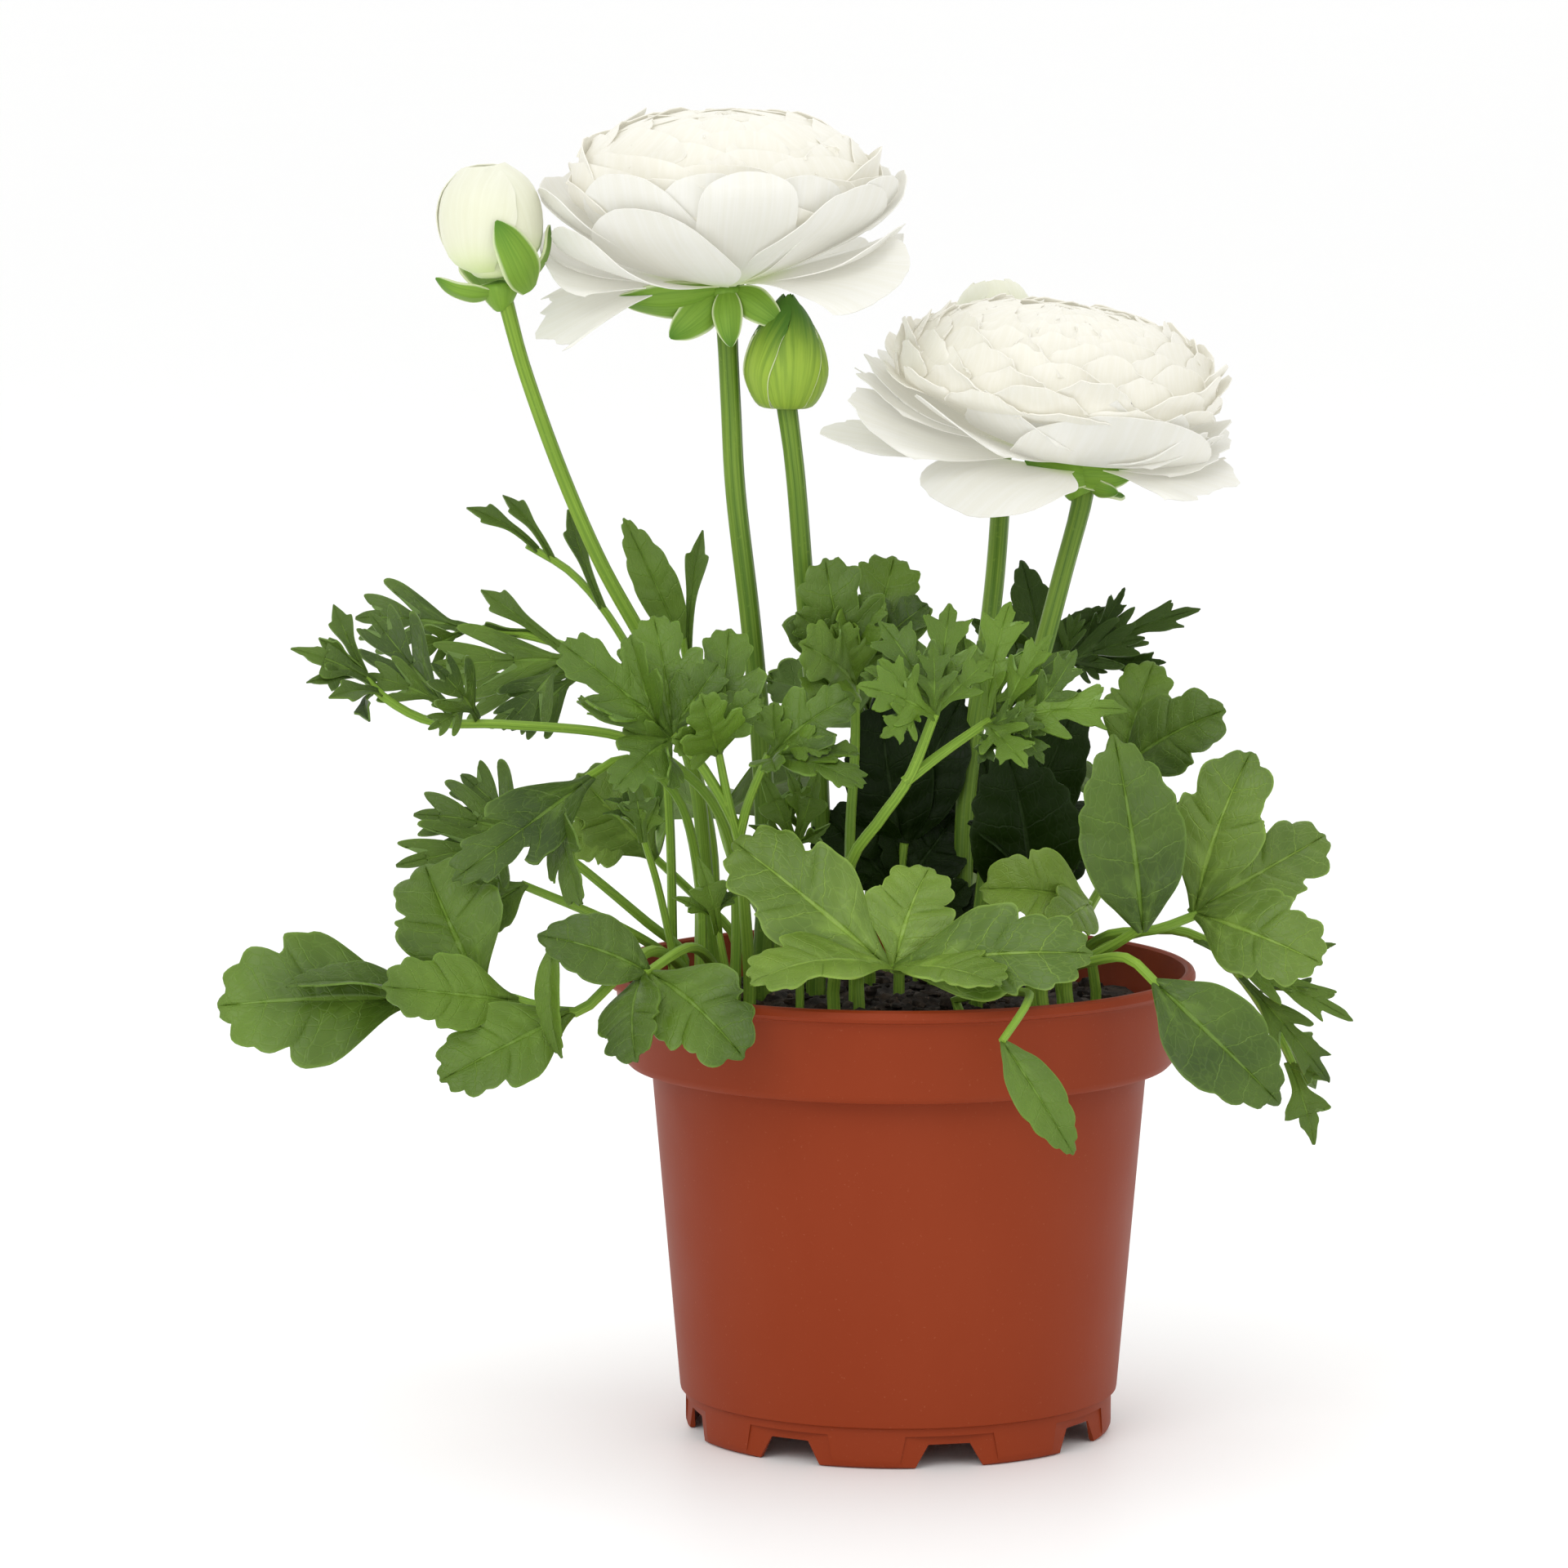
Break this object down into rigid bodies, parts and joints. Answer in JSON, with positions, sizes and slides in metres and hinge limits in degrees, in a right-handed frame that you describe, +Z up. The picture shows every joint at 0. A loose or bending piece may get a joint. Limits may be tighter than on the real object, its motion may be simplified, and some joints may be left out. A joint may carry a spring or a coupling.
{
  "type": "potted ranunculus",
  "caption": "White ranunculus with layered blooms, buds and cut leaves, growing in soil in a round plastic nursery pot that stands on its notched foot.",
  "frame": {"origin": "centre of the pot's base, on the surface that it stands on", "axes": "+Z up; the side that faces the viewer in the picture looks along -Y, and +X is to its right"},
  "size_m": [0.2266, 0.1685, 0.269],
  "materials": {
    "terracotta_plastic": "satin",
    "potting_soil": "matte",
    "petal": "matte",
    "petal_greenish": "matte",
    "stem": "satin",
    "stem_bright": "satin",
    "leaf": "matte",
    "leaf_light": "matte",
    "leaf_dark": "matte"
  },
  "bodies": {
    "root": {"pot": "terracotta_plastic", "soil": "potting_soil", "bloom_left_petals": "petal", "bloom_left_stem": "stem", "bloom_right_petals": "petal", "bloom_right_stem": "stem", "white_bud_petals": "petal_greenish", "white_bud_stem": "stem_bright", "back_bud_petals": "petal_greenish", "back_bud_stem": "stem", "green_bud": "stem", "leaf_far_left": "leaf", "leaf_front_left": "leaf", "leaf_front_mid": "leaf", "leaf_front_hanging": "leaf", "leaf_right_ternate": "leaf", "leaf_right_oval": "leaf", "leaf_right_drooping": "leaf", "leaf_right_cut": "leaf", "leaf_right_upper": "leaf", "leaf_right_back_cut": "leaf_dark", "leaf_upper_middle": "leaf", "leaf_centre_cut": "leaf_light", "leaf_left_cluster": "leaf_light", "leaf_left_cut_low": "leaf", "leaf_left_cut_high": "leaf", "leaf_left_fork": "leaf", "leaf_left_strap": "leaf", "leaf_left_middle": "leaf", "leaf_left_arching": "leaf", "leaf_left_low": "leaf", "leaf_left_back": "leaf", "leaf_dark_heart": "leaf_dark", "leaf_middle_dark": "leaf_dark", "leaf_curled_old": "leaf", "leaf_young_left": "leaf_light", "leaf_young_middle": "leaf_light", "leaf_young_front": "leaf_light", "leaf_back_left": "leaf", "leaf_back_middle": "leaf", "leaf_back_right": "leaf", "leaf_back_low": "leaf"}
  },
  "joints": []
}
